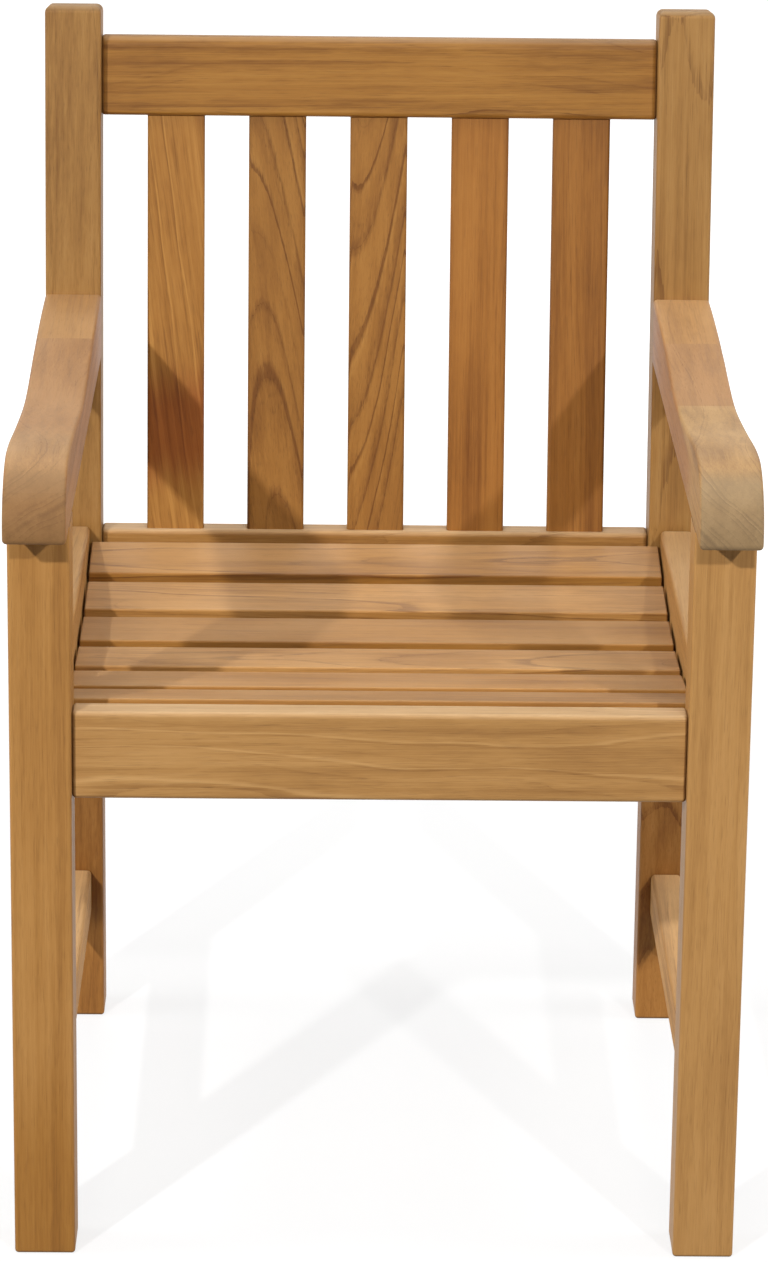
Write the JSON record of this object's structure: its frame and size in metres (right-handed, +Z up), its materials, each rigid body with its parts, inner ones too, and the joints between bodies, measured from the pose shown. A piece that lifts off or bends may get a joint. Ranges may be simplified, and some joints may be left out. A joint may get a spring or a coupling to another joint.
{
  "type": "garden armchair",
  "caption": "Slatted wooden garden armchair with an upright slatted back, a hollow-curved slatted seat, flat shaped armrests and side stretchers.",
  "frame": {"origin": "on the floor, under the middle of the chair's bounding box", "axes": "+X to the right of someone looking at the chair's front, +Y towards its back, +Z up; the sitter faces -Y"},
  "size_m": [0.5812, 0.6674, 0.9153],
  "materials": {
    "teak_legs": "sanded, clear oiled, satin",
    "teak_rails": "sanded, clear oiled, satin",
    "teak_back_slats": "sanded, clear oiled, satin",
    "teak_seat_slats": "sanded, clear oiled, satin",
    "teak_bearers": "planed, matt",
    "teak_arms": "sanded, clear oiled, satin",
    "teak_pegs": "end grain, sanded flush",
    "brass_screws": "dull, lightly tarnished"
  },
  "bodies": {
    "root": {"apron_pegs": "teak_pegs", "arm_board_left": "teak_arms", "arm_board_right": "teak_arms", "arm_front_block_left": "teak_arms", "arm_front_block_right": "teak_arms", "arm_pegs": "teak_pegs", "arm_rear_block_left": "teak_arms", "arm_rear_block_right": "teak_arms", "back_post_left": "teak_legs", "back_post_right": "teak_legs", "back_slat_1": "teak_back_slats", "back_slat_2": "teak_back_slats", "back_slat_3": "teak_back_slats", "back_slat_4": "teak_back_slats", "back_slat_5": "teak_back_slats", "bearer_screws": "brass_screws", "front_apron": "teak_rails", "front_leg_left": "teak_legs", "front_leg_right": "teak_legs", "rear_rail": "teak_rails", "rear_rail_pegs": "teak_pegs", "seat_bearer_left": "teak_bearers", "seat_bearer_middle": "teak_bearers", "seat_bearer_right": "teak_bearers", "seat_slat_1": "teak_seat_slats", "seat_slat_2": "teak_seat_slats", "seat_slat_3": "teak_seat_slats", "seat_slat_4": "teak_seat_slats", "seat_slat_5": "teak_seat_slats", "seat_slat_6": "teak_seat_slats", "side_rail_left": "teak_rails", "side_rail_pegs": "teak_pegs", "side_rail_right": "teak_rails", "side_stretcher_left": "teak_rails", "side_stretcher_right": "teak_rails", "slat_screws": "brass_screws", "stretcher_pegs": "teak_pegs", "top_rail": "teak_rails", "top_rail_pegs": "teak_pegs"}
  },
  "joints": []
}
